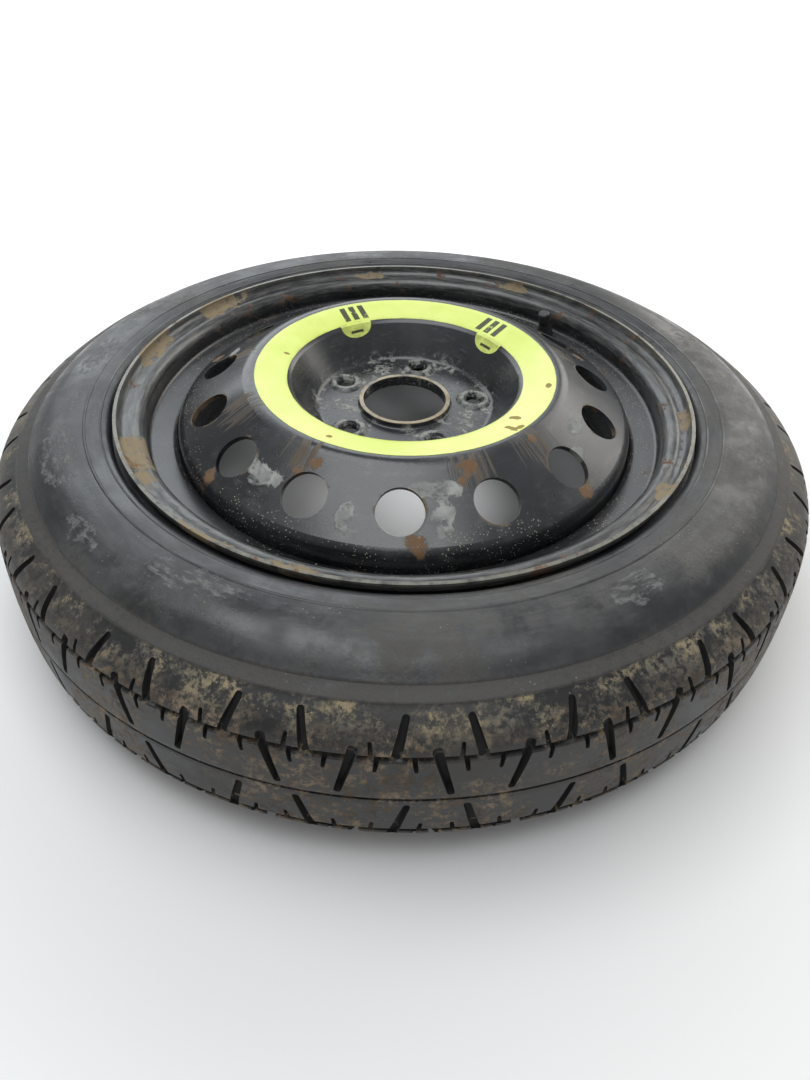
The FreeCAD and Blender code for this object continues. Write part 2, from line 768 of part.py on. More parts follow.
os.makedirs("parts", exist_ok=True)
for part in sub_parts:
    if part.Shape.isNull() or not part.Shape.isValid() or not part.Shape.Solids:
        raise RuntimeError(f"{part.Label} has no valid solid")
    part.Shape.exportStep(f"parts/{part.Label}.step")
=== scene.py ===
"""Looks of a temporary spare wheel that lies flat with its outboard side up."""
import math

import bpy
from mathutils import Matrix, Vector


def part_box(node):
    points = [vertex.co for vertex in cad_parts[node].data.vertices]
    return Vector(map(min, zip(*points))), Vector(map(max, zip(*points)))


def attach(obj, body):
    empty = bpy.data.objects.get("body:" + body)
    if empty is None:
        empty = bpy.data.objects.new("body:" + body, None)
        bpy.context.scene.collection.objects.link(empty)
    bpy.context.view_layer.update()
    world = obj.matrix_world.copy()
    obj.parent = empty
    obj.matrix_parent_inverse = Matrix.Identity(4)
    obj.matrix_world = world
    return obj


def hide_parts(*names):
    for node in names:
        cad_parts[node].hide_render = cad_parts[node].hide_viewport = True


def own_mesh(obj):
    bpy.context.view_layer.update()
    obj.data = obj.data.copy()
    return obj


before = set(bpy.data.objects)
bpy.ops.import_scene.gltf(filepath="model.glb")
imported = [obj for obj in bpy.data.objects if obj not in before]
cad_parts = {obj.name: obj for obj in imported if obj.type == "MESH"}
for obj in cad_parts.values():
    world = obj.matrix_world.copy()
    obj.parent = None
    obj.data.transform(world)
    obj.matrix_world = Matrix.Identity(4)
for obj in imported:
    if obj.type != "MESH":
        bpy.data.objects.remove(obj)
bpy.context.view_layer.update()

MM = 0.001
tyre_low, tyre_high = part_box("tyre")
FLOOR_Z = tyre_low[2]
MIDDLE_Z = (tyre_low[2] + tyre_high[2]) / 2
_, rim_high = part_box("rim")
LIP_Z = rim_high[2]

# Places on the wheel that paint and film follow
VENT_CIRCLE = 153.0 * MM
VENT_COUNT = 15
VENT_ANGLE = math.radians(-90.35)
VENT_SLOPE = math.radians(30.3)
BOLT_CIRCLE = 57.15 * MM
BOLT_COUNT = 5
BOLT_ANGLE = math.radians(78.98)
LOBE_DEGREES = (38.9, 119.7)
MARK_DEGREES = (45.0, 117.0)

# Camera, found by fitting circles of the wheel to the photograph
IMAGE_HEIGHT_PX = 1080
FOCAL_PX = 733.9
AXIS_ROW_PX = 391.0
CAMERA_PLACE = Vector((0.0001, -0.4996, LIP_Z + 0.3027))
CAMERA_PITCH = math.radians(32.5)
CAMERA_ROLL = math.radians(1.54)
SENSOR_MM = 36.0

# How ragged the edges of dirt are, as a share of a spot's size
SPOT_WOBBLE = 3.0
PATCH_WOBBLE = 3.2


class Graph:
    """A material's node tree with short calls for the nodes used here."""

    def __init__(self, name):
        self.material = bpy.data.materials.new(name)
        self.material.use_nodes = True
        self.tree = self.material.node_tree
        self.shader = self.tree.nodes["Principled BSDF"]
        self.place = self.tree.nodes.new("ShaderNodeTexCoord").outputs["Object"]
        split = self.node("ShaderNodeSeparateXYZ", self.place)
        self.x, self.y, self.z = split.outputs
        self.radius = self.math("SQRT", self.math("ADD", self.math("MULTIPLY", self.x, self.x),
                                                  self.math("MULTIPLY", self.y, self.y)))
        self.angle = self.math("ARCTAN2", self.y, self.x)

    def node(self, kind, *values):
        """A node with its first inputs set to values or linked to sockets."""
        node = self.tree.nodes.new(kind)
        for socket, value in zip(node.inputs, values):
            self.put(socket, value)
        return node

    def put(self, socket, value):
        """Link a socket to another, or set it to a value."""
        if isinstance(value, bpy.types.NodeSocket):
            self.tree.links.new(value, socket)
        elif value is not None:
            socket.default_value = value

    def math(self, operation, first, second=0.0, third=0.0):
        node = self.node("ShaderNodeMath", first, second, third)
        node.operation = operation
        return node.outputs[0]

    def times(self, *values):
        product = values[0]
        for value in values[1:]:
            product = self.math("MULTIPLY", product, value)
        return product

    def most(self, *values):
        largest = values[0]
        for value in values[1:]:
            largest = self.math("MAXIMUM", largest, value)
        return largest

    def vector(self, x, y, z):
        return self.node("ShaderNodeCombineXYZ", x, y, z).outputs[0]

    def noise(self, scale, detail=4.0, roughness=0.55, vector=None):
        node = self.tree.nodes.new("ShaderNodeTexNoise")
        self.put(node.inputs["Vector"], vector or self.place)
        node.inputs["Scale"].default_value = scale
        node.inputs["Detail"].default_value = detail
        node.inputs["Roughness"].default_value = roughness
        return node.outputs["Fac"]

    def cells(self, scale):
        """Distance from the nearest of many scattered points, for grit."""
        node = self.tree.nodes.new("ShaderNodeTexVoronoi")
        self.put(node.inputs["Vector"], self.place)
        node.inputs["Scale"].default_value = scale
        return node.outputs["Distance"]

    def ramp(self, value, low, high):
        """0 below low and 1 above high, or the other way round if low is above high."""
        node = self.tree.nodes.new("ShaderNodeMapRange")
        node.interpolation_type = "SMOOTHSTEP"
        self.put(node.inputs["Value"], value)
        flip = low > high
        node.inputs["From Min"].default_value = min(low, high)
        node.inputs["From Max"].default_value = max(low, high)
        node.inputs["To Min"].default_value = 1.0 if flip else 0.0
        node.inputs["To Max"].default_value = 0.0 if flip else 1.0
        return node.outputs["Result"]

    def band(self, value, low, high, soft):
        """1 between low and high, with soft edges."""
        rise = self.ramp(value, low - soft, low + soft)
        return self.times(rise, self.ramp(value, high + soft, high - soft))

    def mix(self, amount, first, second):
        """A colour between two colours."""
        node = self.tree.nodes.new("ShaderNodeMix")
        node.data_type = "RGBA"
        self.put(node.inputs["Factor"], amount)
        colours = [socket for socket in node.inputs if socket.type == "RGBA"]
        for socket, colour in zip(colours, (first, second)):
            self.put(socket, (*colour, 1) if isinstance(colour, tuple) else colour)
        return next(socket for socket in node.outputs if socket.type == "RGBA")

    def blend(self, amount, first, second):
        """A number between two numbers."""
        rest = self.math("SUBTRACT", 1.0, amount)
        return self.math("ADD", self.times(rest, first), self.times(amount, second))

    def around(self, stretch, along):
        """Coordinates for streaks: stretch scales them round the wheel, along scales them outwards."""
        return self.vector(self.math("MULTIPLY", self.math("COSINE", self.angle), stretch),
                           self.math("MULTIPLY", self.math("SINE", self.angle), stretch),
                           self.math("MULTIPLY", self.math("ADD", self.radius, self.z), along))

    def spots(self, places, ragged):
        """Mask of ragged patches: each place is (radius mm, angle deg, size mm)."""
        mask = 0.0
        wobble = self.math("MULTIPLY", self.math("SUBTRACT", ragged, 0.5), SPOT_WOBBLE)
        for radius, degrees, size in places:
            turn = math.radians(degrees)
            dx = self.math("SUBTRACT", self.x, radius * MM * math.cos(turn))
            dy = self.math("SUBTRACT", self.y, radius * MM * math.sin(turn))
            away = self.math("SQRT", self.math("ADD", self.times(dx, dx), self.times(dy, dy)))
            edge = self.math("ADD", self.math("DIVIDE", away, size * MM), wobble)
            mask = self.most(self.ramp(edge, 1.0, 0.6), mask)
        return mask

    def patches(self, places, ragged):
        """Mask of ragged patches that lie round the wheel.

        Each place is (radius mm, angle deg, half length mm, half width mm).
        """
        mask = 0.0
        wobble = self.math("MULTIPLY", self.math("SUBTRACT", ragged, 0.5), PATCH_WOBBLE)
        for radius, degrees, length, width in places:
            turned = self.math("SUBTRACT", self.angle, math.radians(degrees) - math.pi)
            local = self.math("SUBTRACT", self.math("WRAP", turned, 2 * math.pi, 0.0), math.pi)
            along = self.math("DIVIDE", self.times(local, self.radius), length * MM)
            across = self.math("DIVIDE", self.math("SUBTRACT", self.radius, radius * MM), width * MM)
            away = self.math("SQRT", self.math("ADD", self.times(along, along), self.times(across, across)))
            mask = self.most(self.ramp(self.math("ADD", away, wobble), 1.0, 0.8), mask)
        return mask

    def from_ring(self, circle, count, start, slope=0.0):
        """Distance from the nearest of a ring of holes, measured along the sloping sheet."""
        pitch = 2 * math.pi / count
        turned = self.math("ADD", self.math("SUBTRACT", self.angle, start), pitch / 2)
        local = self.math("SUBTRACT", self.math("WRAP", turned, pitch, 0.0), pitch / 2)
        across = self.times(local, self.radius)
        along = self.math("DIVIDE", self.math("SUBTRACT", self.radius, circle), math.cos(slope))
        return self.math("SQRT", self.math("ADD", self.times(across, across), self.times(along, along)))

    def bump(self, height, strength, distance):
        node = self.tree.nodes.new("ShaderNodeBump")
        node.inputs["Strength"].default_value = strength
        node.inputs["Distance"].default_value = distance
        self.put(node.inputs["Height"], height)
        self.put(self.shader.inputs["Normal"], node.outputs[0])

    def finish(self, colour, roughness, metallic=0.0, specular=0.5):
        """Set the shader and give the material."""
        self.put(self.shader.inputs["Base Color"], (*colour, 1) if isinstance(colour, tuple) else colour)
        self.put(self.shader.inputs["Roughness"], roughness)
        self.put(self.shader.inputs["Metallic"], metallic)
        self.shader.inputs["Specular IOR Level"].default_value = specular
        return self.material


# Materials

RUST = (0.115, 0.050, 0.018)
GOLD_RUST = (0.150, 0.098, 0.042)
OCHRE_MUD = (0.205, 0.158, 0.092)
SCALE_WHITE = (0.36, 0.37, 0.35)
DUST = (0.135, 0.122, 0.100)
GRIT = (0.33, 0.29, 0.22)


def disc_paint():
    """Black glossy paint with dried scale round the holes, rust spots, gold streaks and grit."""
    g = Graph("disc_paint")
    cloud = g.noise(9, 5, 0.6)
    fine = g.noise(170, 6, 0.65)
    ragged = g.noise(75, 6, 0.62)
    smear = g.noise(1.0, 6, 0.68, g.around(9, 330))
    colour = g.mix(g.ramp(cloud, 0.35, 0.7), (0.010, 0.011, 0.013), (0.026, 0.029, 0.034))
    film = g.times(g.ramp(smear, 0.48, 0.66), g.ramp(g.noise(24, 6, 0.7), 0.40, 0.62))
    colour = g.mix(g.times(film, 0.42), colour, (0.105, 0.106, 0.100))
    rays = g.spots(((132, -152, 15), (131, -122, 13), (131, -70, 15), (130, -46, 16), (134, 172, 10),
                    (133, 14, 9)), g.noise(1.0, 4, 0.6, g.around(30, 12)))
    gold = g.times(rays, g.ramp(g.noise(1.0, 5, 0.65, g.around(34, 8)), 0.40, 0.64))
    colour = g.mix(g.times(gold, 0.62), colour, GOLD_RUST)
    near_hole = g.from_ring(VENT_CIRCLE, VENT_COUNT, VENT_ANGLE, VENT_SLOPE)
    rim_of_hole = g.times(g.ramp(near_hole, 0.0182, 0.0160), g.ramp(g.noise(32, 5, 0.65), 0.50, 0.60))
    colour = g.mix(g.times(rim_of_hole, 0.75), colour, GOLD_RUST)
    white = g.patches(((151, -128, 17, 7), (146, -115, 9, 6), (141, -79.5, 20, 6), (156, -80, 8, 10),
                       (158, -103, 7, 9), (150, -38, 9, 5), (140, -28, 12, 4), (150, 165, 8, 4)), ragged)
    scale = g.times(white, g.ramp(smear, 0.36, 0.50), g.ramp(fine, 0.30, 0.48))
    cover = g.blend(g.ramp(ragged, 0.40, 0.60), 0.55, 0.95)
    colour = g.mix(g.times(scale, cover), colour, SCALE_WHITE)
    rust_spots = g.spots(((134, -115, 5.5), (132, -71, 6.5), (138, -74, 5), (171, -87, 7),
                          (140, -119, 5), (170, -43, 7), (127, -46, 4), (171, -140, 6),
                          (160, 20, 6), (168, 165, 6)), ragged)
    rust = g.times(rust_spots, g.ramp(fine, 0.30, 0.50))
    colour = g.mix(g.times(rust, 0.9), colour, g.mix(ragged, RUST, (0.21, 0.125, 0.055)))
    pad = g.times(g.ramp(g.z, 0.016, 0.008), g.ramp(g.radius, 0.080, 0.070))
    near_bolt = g.ramp(g.from_ring(BOLT_CIRCLE, BOLT_COUNT, BOLT_ANGLE), 0.019, 0.009)
    crust = g.times(pad, g.most(g.times(near_bolt, 0.85), g.ramp(g.noise(52, 7, 0.74), 0.50, 0.60)),
                    g.ramp(g.noise(130, 6, 0.72), 0.46, 0.56))
    colour = g.mix(g.times(crust, 0.85), colour, (0.33, 0.33, 0.30))
    collar = g.times(g.ramp(g.radius, 0.0376, 0.0366), g.ramp(g.z, 0.0078, 0.0088))
    edge_tint = g.mix(ragged, (0.13, 0.085, 0.04), (0.36, 0.30, 0.18))
    colour = g.mix(g.times(collar, g.ramp(ragged, 0.30, 0.50)), colour, edge_tint)
    low = g.most(g.ramp(g.radius, 0.158, 0.172), g.times(pad, 0.45), 0.10)
    specks = g.times(g.ramp(g.cells(430), 0.24, 0.12), g.ramp(g.noise(34, 4), 0.40, 0.54), low)
    colour = g.mix(g.times(specks, 0.9), colour, GRIT)
    dirt = g.most(gold, rim_of_hole, scale, rust, crust, specks)
    rough = g.blend(dirt, g.blend(g.ramp(cloud, 0.3, 0.7), 0.20, 0.34), 0.82)
    height = g.math("ADD", g.times(fine, 0.22), g.times(dirt, ragged))
    g.bump(height, 0.35, 0.0006)
    return g.finish(colour, rough, specular=0.62)


def rim_paint():
    """Black paint, dulled and worn on the lip, with mud and rust on the flange and grit in the well."""
    g = Graph("rim_paint")
    cloud = g.noise(11, 5, 0.6)
    ragged = g.noise(75, 6, 0.62)
    fine = g.noise(190, 6, 0.65)
    colour = g.mix(g.ramp(cloud, 0.35, 0.7), (0.010, 0.011, 0.012), (0.030, 0.032, 0.035))
    flange = g.times(g.band(g.radius, 0.198, 0.2215, 0.002), g.ramp(g.z, 0.006, 0.017))
    smear = g.noise(1.0, 6, 0.68, g.around(10, 300))
    colour = g.mix(g.times(flange, g.ramp(smear, 0.40, 0.64), 0.6), colour, (0.125, 0.125, 0.117))
    lip = g.ramp(g.z, LIP_Z - 0.0035, LIP_Z - 0.0006)
    worn = g.times(lip, g.ramp(g.noise(1.0, 6, 0.7, g.around(16, 60)), 0.34, 0.56))
    colour = g.mix(g.times(worn, 0.85), colour, (0.20, 0.195, 0.165))
    mud = g.patches(((214, -105, 26, 6), (217, -122, 22, 6), (209, -150, 30, 9), (214, -37, 18, 6),
                     (216, 169, 26, 8), (216, 144, 30, 8), (215, -76, 10, 4), (212, 100, 18, 5),
                     (214, 60, 14, 4), (214, -12, 14, 5)), ragged)
    caked = g.times(mud, g.ramp(fine, 0.28, 0.50))
    colour = g.mix(g.times(caked, 0.85), colour, g.mix(ragged, OCHRE_MUD, (0.27, 0.21, 0.12)))
    rust = g.times(g.ramp(g.noise(48, 6, 0.68), 0.585, 0.66), g.most(flange, lip, 0.2),
                   g.ramp(fine, 0.34, 0.52))
    colour = g.mix(g.times(rust, 0.85), colour, RUST)
    specks = g.times(g.ramp(g.cells(400), 0.25, 0.12), g.ramp(g.z, 0.020, -0.002),
                     g.ramp(g.noise(28, 4), 0.38, 0.54))
    colour = g.mix(g.times(specks, 0.9), colour, GRIT)
    dirt = g.most(caked, rust, specks)
    rough = g.blend(dirt, g.blend(worn, 0.30, 0.42), 0.86)
    g.bump(g.math("ADD", g.times(fine, 0.25), g.times(dirt, ragged)), 0.4, 0.0007)
    return g.finish(colour, rough, g.times(worn, g.math("SUBTRACT", 1.0, dirt), 0.35), specular=0.6)


def tyre_rubber():
    """Black rubber: a smooth sidewall with scuffs and a painted bluish sheen, a dusty stepped band and mud
    on the tread blocks.
    """
    g = Graph("tyre_rubber")
    cloud = g.noise(8, 5, 0.6)
    ragged = g.noise(52, 6, 0.66)
    fine = g.noise(260, 6, 0.7)
    grain = g.noise(1000, 3, 0.6)
    wall = g.ramp(g.radius, 0.2764, 0.2752)
    tread = g.ramp(g.radius, 0.2838, 0.2848)
    colour = g.mix(g.ramp(cloud, 0.32, 0.68), (0.014, 0.0148, 0.0165), (0.030, 0.0315, 0.034))
    colour = g.mix(g.times(tread, 0.65), colour, (0.0105, 0.0100, 0.0095))
    # Painted sheen: bluish grey streaks on the sidewall stand in for the sky's reflection
    painted_sky_sheen = g.times(wall, g.ramp(g.noise(1.0, 6, 0.66, g.around(7, 160)), 0.40, 0.66))
    colour = g.mix(g.times(painted_sky_sheen, 0.5), colour, (0.066, 0.069, 0.073))
    step_band = g.times(g.math("SUBTRACT", 1.0, wall), g.math("SUBTRACT", 1.0, tread))
    dust = g.math("MULTIPLY_ADD", step_band, 0.75, g.ramp(g.noise(13, 6, 0.72), 0.47, 0.68))
    dusty = g.times(g.math("MINIMUM", dust, 1.0), g.ramp(fine, 0.26, 0.60))
    colour = g.mix(g.times(dusty, 0.5), colour, (0.092, 0.082, 0.068))
    scuffs = g.patches(((255, -152, 34, 12), (248, 143.7, 36, 12), (257, 12, 36, 10), (259, -2, 30, 10),
                        (250, -118, 34, 11), (252, -60, 22, 8), (245, 95, 26, 8), (266, -20, 20, 7),
                        (250, 175, 30, 9), (262, -135, 18, 6)), ragged)
    scratch = g.ramp(g.noise(1.0, 6, 0.72, g.around(26, 330)), 0.46, 0.62)
    scuffed = g.times(scuffs, scratch, wall)
    colour = g.mix(g.times(scuffed, 0.6), colour, (0.21, 0.21, 0.20))
    from_middle = g.math("ABSOLUTE", g.math("SUBTRACT", g.z, MIDDLE_Z))
    shoulder = g.times(tread, g.ramp(from_middle, 0.036, 0.047))
    rubbed = g.times(shoulder, g.ramp(g.noise(34, 8, 0.80), 0.46, 0.57), g.ramp(fine, 0.42, 0.54))
    tan = g.mix(g.ramp(ragged, 0.40, 0.62), DUST, (0.33, 0.27, 0.165))
    colour = g.mix(g.times(rubbed, 0.85), colour, tan)
    crown = g.math("SUBTRACT", tread, shoulder)
    clods = g.times(crown, g.ramp(g.noise(190, 8, 0.80), 0.48, 0.56),
                    g.ramp(g.noise(22, 5), 0.38, 0.50))
    brown = g.mix(g.ramp(ragged, 0.38, 0.62), (0.085, 0.058, 0.036), (0.26, 0.20, 0.135))
    colour = g.mix(g.times(clods, 0.85), colour, brown)
    grit = g.times(g.ramp(g.cells(300), 0.15, 0.07), g.ramp(g.noise(18, 4), 0.52, 0.62))
    colour = g.mix(g.times(grit, 0.85), colour, (0.30, 0.27, 0.21))
    dirt = g.most(g.times(dusty, 0.6), rubbed, scuffed, clods, grit)
    sheen = g.blend(g.ramp(g.noise(20, 5, 0.65), 0.38, 0.62), 0.27, 0.46)
    rough = g.blend(dirt, g.blend(wall, 0.42, sheen), 0.92)
    relief = g.math("ADD", g.times(dirt, ragged, 0.8), g.times(fine, 0.20))
    g.bump(g.math("ADD", g.times(grain, 0.08), relief), 0.5, 0.0009)
    return g.finish(colour, rough, specular=0.5)


def lime_film():
    """Lime label film with plain dark bars, rubbed flecks, brown stains and grubby edges."""
    g = Graph("lime_vinyl")
    ragged = g.noise(80, 6, 0.65)
    fine = g.noise(260, 5, 0.65)
    colour = g.mix(g.ramp(g.noise(14, 4), 0.35, 0.7), (0.60, 0.70, 0.135), (0.72, 0.82, 0.235))
    edge = g.most(g.ramp(g.radius, 0.0952, 0.0930), g.ramp(g.radius, 0.1155, 0.1180))
    colour = g.mix(g.times(edge, g.ramp(ragged, 0.42, 0.62), 0.45), colour, (0.30, 0.30, 0.08))
    flecks = g.times(g.ramp(g.noise(1.0, 6, 0.75, g.around(60, 260)), 0.64, 0.69), 0.6)
    colour = g.mix(flecks, colour, (0.24, 0.23, 0.11))
    stain = g.patches(((102.4, -39, 2.6, 5), (110, -47, 3, 6), (114, -45, 5, 2.5), (108, -118, 2, 2),
                       (100, 168, 2, 3), (112, -12, 3, 2)), ragged)
    colour = g.mix(g.times(stain, 0.85), colour, (0.20, 0.105, 0.03))
    colour = g.mix(g.times(label_marks(g), 0.94), colour, (0.016, 0.016, 0.015))
    g.bump(g.math("ADD", g.times(fine, 0.2), stain), 0.25, 0.0003)
    return g.finish(colour, g.blend(stain, 0.34, 0.8), specular=0.5)


def label_marks(g):
    """Plain dark bars where the label carries print: three over each tab and one short bar on it."""
    marks = 0.0
    for degrees, lobe in zip(MARK_DEGREES, LOBE_DEGREES):
        across = g.times(g.math("SUBTRACT", g.angle, math.radians(degrees)), g.radius)
        for place in (-0.0085, 0.0, 0.0085):
            bar = g.band(across, place - 0.0026, place + 0.0026, 0.0003)
            marks = g.most(g.times(bar, g.band(g.radius, 0.0965, 0.1140, 0.0003)), marks)
        across = g.times(g.math("SUBTRACT", g.angle, math.radians(lobe)), g.radius)
        line = g.times(g.band(across, -0.0060, 0.0060, 0.0003), g.band(g.z, 0.0272, 0.0292, 0.0002))
        marks = g.most(g.times(line, g.ramp(g.radius, 0.0925, 0.0915)), marks)
    return g.times(marks, g.ramp(g.noise(150, 5, 0.7), 0.30, 0.42))


def plain(name, colour, dark, roughness, scale, metallic=0.0):
    """A material with mottled colour, uneven gloss and a fine grain."""
    g = Graph(name)
    cloud = g.noise(scale, 5, 0.6)
    fine = g.noise(scale * 8, 4, 0.6)
    g.bump(fine, 0.3, 0.0002)
    mottled = g.mix(g.ramp(cloud, 0.35, 0.65), dark, colour)
    return g.finish(mottled, g.blend(cloud, roughness, roughness + 0.2), metallic)


# Tyre

TURNED_SEGMENTS = 352
TYRE_CREASE = math.radians(32)
GROOVE_RADIUS = 301.5 * MM
GROOVE_HEIGHT = 31.5
SLOT_COUNT = 44
SLOT_SLANT = math.radians(14)
SHOULDER_LEAN = math.atan2(7.5, 11.5)
SLOT_WIDTH = 5.4 * MM
SLOT_DEPTH = 4.4 * MM
SLOT_TAPER = 0.7
SHOULDER_SLOT_LENGTH = 21.5 * MM
RIB_SLOT_LENGTH = 28.0 * MM
RIB_SLOT_LEAD = 6.5 * MM
SIPE_WIDTH = 2.8 * MM
SIPE_DEPTH = 3.0 * MM
SIPE_LENGTH = 9.0 * MM
SHOULDER_SIPE_SHARE = 0.74
RIB_SIPE_SHARES = (0.22, 0.80)

# Upper half of the section as (radius, height over the middle plane) in millimetres, from the tread's
# middle over the shoulder and the sidewall to the bead, and back along the lining
TREAD_PATH = ((300.9, 0.0), (300.9, 0.8), (302.8, 0.9), (303.0, 1.3), (302.95, 5.0), (302.85, 10.0),
              (302.65, 16.0), (302.35, 22.0), (301.95, 27.0), (301.7, 29.2), (301.1, 29.9), (297.6, 30.3),
              (297.0, 30.7), (297.0, 32.3), (297.6, 32.7), (300.7, 33.1), (301.1, 33.9))
SHOULDER_PATH = ((300.5, 35.6), (299.5, 37.5), (298.1, 39.3), (296.3, 41.1), (294.0, 43.0), (291.6, 44.7),
                 (288.9, 46.5), (286.4, 48.1), (284.9, 49.0), (284.4, 49.4))
SIDEWALL_PATH = ((284.3, 50.0), (283.9, 50.5), (283.2, 50.8), (280.0, 51.95), (276.9, 52.95), (276.3, 53.3),
                 (276.0, 54.0), (275.6, 54.5), (275.0, 54.85), (272.6, 56.7), (269.8, 58.6), (266.5, 60.3),
                 (263.0, 61.7), (259.2, 62.8), (255.0, 63.4), (251.0, 63.5), (247.0, 63.5), (243.0, 63.35),
                 (239.9, 63.05), (239.5, 63.35), (239.0, 63.5), (238.2, 63.4), (237.8, 62.9), (235.2, 62.4),
                 (232.0, 61.6), (229.2, 60.8), (228.8, 61.0), (228.2, 61.0), (227.8, 60.4), (225.9, 59.7),
                 (224.0, 58.6), (222.7, 56.4), (221.9, 51.6))
BEAD_PATH = ((216.0, 50.75), (209.6, 50.55), (206.2, 49.6), (204.0, 47.2), (203.2, 44.2), (203.2, 34.2),
             (210.0, 34.6), (220.0, 41.0), (230.0, 51.0), (240.0, 56.2), (255.0, 57.3), (268.0, 55.0),
             (279.0, 47.0), (287.0, 39.0), (291.3, 30.0), (292.6, 16.0), (293.0, 0.0))


def open_piece(piece):
    """Make a piece the only selected one and go into edit mode with all of it selected."""
    bpy.ops.object.select_all(action="DESELECT")
    piece.select_set(True)
    bpy.context.view_layer.objects.active = piece
    bpy.ops.object.mode_set(mode="EDIT")
    bpy.ops.mesh.select_mode(type="VERT")
    bpy.ops.mesh.select_all(action="SELECT")


def turned_shell(name, section):
    """A ring drawn from point to point of a closed section, in metres."""
    bpy.ops.object.select_all(action="DESELECT")
    radius, height = section[0]
    bpy.ops.mesh.primitive_circle_add(vertices=TURNED_SEGMENTS, radius=radius, location=(0, 0, height))
    shell = bpy.context.object
    shell.name = name
    bpy.ops.object.transform_apply()
    open_piece(shell)
    for (radius, height), (next_radius, next_height) in zip(section, section[1:]):
        bpy.ops.mesh.extrude_region_move(TRANSFORM_OT_translate={"value": (0, 0, next_height - height)})
        scale = next_radius / radius
        bpy.ops.transform.resize(value=(scale, scale, 1), center_override=(0, 0, next_height))
    bpy.ops.mesh.select_all(action="SELECT")
    bpy.ops.mesh.remove_doubles(threshold=0.01 * MM)
    bpy.ops.mesh.normals_make_consistent(inside=False)
    bpy.ops.object.mode_set(mode="OBJECT")
    return shell


def slot_cutter(name, width, length, depth, taper, lead=0.0):
    """A rounded bar to be sunk into the tread.

    It runs from lead below the origin to length above it and is narrower at its top.
    """
    bpy.ops.object.select_all(action="DESELECT")
    bpy.ops.mesh.primitive_cube_add(size=1, location=(depth, 0, (length - lead) / 2),
                                    scale=(4 * depth, width, length + lead))
    cutter = bpy.context.object
    cutter.name = name
    bpy.ops.object.transform_apply()
    open_piece(cutter)
    bpy.ops.mesh.select_mode(type="FACE")
    bpy.ops.mesh.select_all(action="DESELECT")
    bpy.ops.object.mode_set(mode="OBJECT")
    for face in cutter.data.polygons:
        face.select = face.normal.z > 0.9
    bpy.ops.object.mode_set(mode="EDIT")
    bpy.ops.transform.resize(value=(1, taper, 1), center_override=(0, 0, length))
    bpy.ops.mesh.select_all(action="SELECT")
    bpy.ops.mesh.bevel(offset=width * taper * 0.42, segments=2, affect="EDGES")
    bpy.ops.object.mode_set(mode="OBJECT")
    return cutter


def slot_place(side, run, turn, slant, lean):
    """Where a slot starts: in one side's groove, running up (1) or down (-1), slanted and leaning in."""
    start = Matrix.Translation((GROOVE_RADIUS, 0, MIDDLE_Z + side * GROOVE_HEIGHT * MM))
    upward = Matrix.Rotation(0 if run > 0 else math.pi, 4, "X")
    return (Matrix.Rotation(turn, 4, "Z") @ start @ upward @ Matrix.Rotation(-lean, 4, "Y")
            @ Matrix.Rotation(slant, 4, "X"))


def tread_cutters():
    """All slots and sipes of the tread as one cutter."""
    shoulder = slot_cutter("shoulder_slot", SLOT_WIDTH, SHOULDER_SLOT_LENGTH, SLOT_DEPTH, SLOT_TAPER)
    rib = slot_cutter("rib_slot", SLOT_WIDTH, RIB_SLOT_LENGTH, SLOT_DEPTH, SLOT_TAPER, RIB_SLOT_LEAD)
    sipe = slot_cutter("groove_sipe", SIPE_WIDTH, SIPE_LENGTH, SIPE_DEPTH, SLOT_TAPER)
    pitch = 2 * math.pi / SLOT_COUNT
    copies = []
    for side in (1, -1):
        for index in range(SLOT_COUNT):
            turn = index * pitch + (0 if side > 0 else pitch / 2)
            slant = SLOT_SLANT * (-1) ** index
            copies.append((shoulder, slot_place(side, side, turn, slant, SHOULDER_LEAN)))
            copies.append((rib, slot_place(side, -side, turn + pitch / 2, -slant, 0)))
            sipe_turn = turn + pitch * SHOULDER_SIPE_SHARE
            copies.append((sipe, slot_place(side, side, sipe_turn, slant / 2, SHOULDER_LEAN)))
            for share in RIB_SIPE_SHARES:
                copies.append((sipe, slot_place(side, -side, turn + pitch * share, -slant / 2, 0)))
    bpy.ops.object.select_all(action="DESELECT")
    for pattern, place in copies:
        copy = bpy.data.objects.new("cutter", pattern.data.copy())
        bpy.context.scene.collection.objects.link(copy)
        copy.data.transform(place)
        copy.select_set(True)
        bpy.context.view_layer.objects.active = copy
    bpy.ops.object.join()
    for pattern in (shoulder, rib, sipe):
        bpy.data.objects.remove(pattern)
    return bpy.context.object


def tyre_detail():
    """The moulded tyre: a turned shell with its tread slots cut out."""
    upper = [(radius * MM, MIDDLE_Z + height * MM)
             for radius, height in TREAD_PATH + SHOULDER_PATH + SIDEWALL_PATH + BEAD_PATH]
    lower = [(radius, 2 * MIDDLE_Z - height) for radius, height in reversed(upper)]
    tyre = turned_shell("tyre_detail", upper + lower[1:])
    tyre.data.materials.append(tyre_rubber())
    cutters = tread_cutters()
    # The slot walls get a darker copy of the rubber: painted shade inside the slots
    painted_shade_slot_walls = plain("slot_rubber_painted_shade", (0.011, 0.010, 0.009), (0.004, 0.004, 0.004), 0.7, 120)
    cutters.data.materials.append(painted_shade_slot_walls)
    bpy.ops.object.select_all(action="DESELECT")
    tyre.select_set(True)
    bpy.context.view_layer.objects.active = tyre
    cut = tyre.modifiers.new("slots", "BOOLEAN")
    cut.object = cutters
    cut.solver = "EXACT"
    cut.material_mode = "TRANSFER"
    bpy.ops.object.modifier_apply(modifier=cut.name)
    bpy.data.objects.remove(cutters)
    bpy.ops.object.shade_smooth_by_angle(angle=TYRE_CREASE)
    return tyre


# Label

